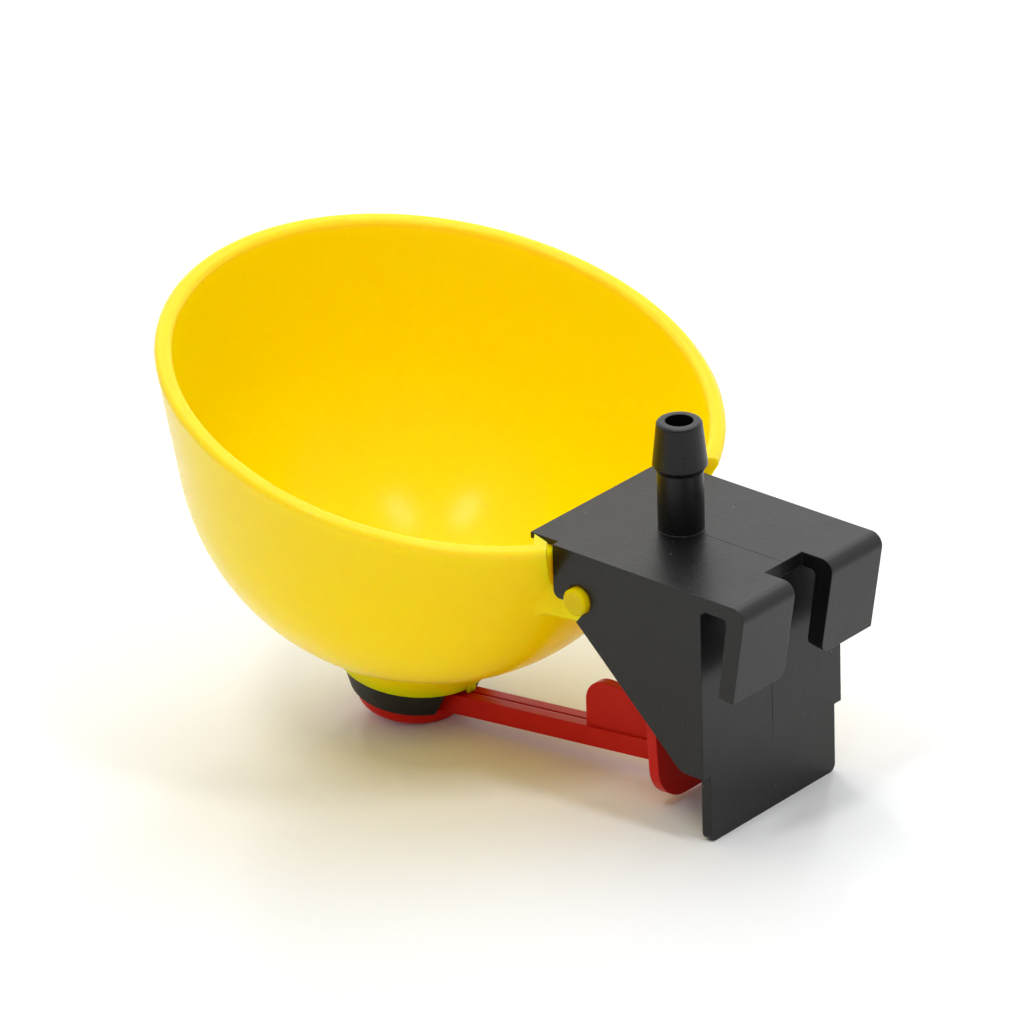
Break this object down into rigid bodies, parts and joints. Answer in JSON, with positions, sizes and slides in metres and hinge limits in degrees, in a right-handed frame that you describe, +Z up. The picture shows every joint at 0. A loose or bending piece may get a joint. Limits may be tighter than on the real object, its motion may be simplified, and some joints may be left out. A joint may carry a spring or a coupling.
{
  "type": "drinking cup for poultry",
  "caption": "Deep slanted bowl hung on a hooked bracket with a hose barb; the water's weight tips the bowl and shuts a valve pad, and a sealed plug closes its drain.",
  "frame": {"origin": "on the rear face of the bracket, on its mirror plane, 24 mm below the top face", "axes": "+X from the wall or rail towards the bowl, +Z up along the hose barb, Y across; the XZ plane mirrors the cup apart from the web of the lever"},
  "size_m": [0.1303, 0.1, 0.0792],
  "materials": {
    "black_plastic": "fine satin",
    "yellow_plastic": "glossy",
    "red_plastic": "satin",
    "seal_rubber": "matt",
    "spring_steel": "drawn wire"
  },
  "bodies": {
    "bracket": {"bracket": "black_plastic", "return_spring": "spring_steel"},
    "bowl": {"bowl": "yellow_plastic", "lever": "red_plastic", "drain_seal": "seal_rubber", "valve_pad": "seal_rubber"}
  },
  "joints": [
    {"name": "bowl_tilt", "type": "hinge", "parent": "bracket", "child": "bowl", "pos_m": [0.0267, 0, 0.0152], "axis": [0, 1, 0], "range_deg": [0, 7], "stiffness_Nm_per_rad": 0.15, "springref_deg": -9.17, "deforming": ["return_spring"]}
  ]
}
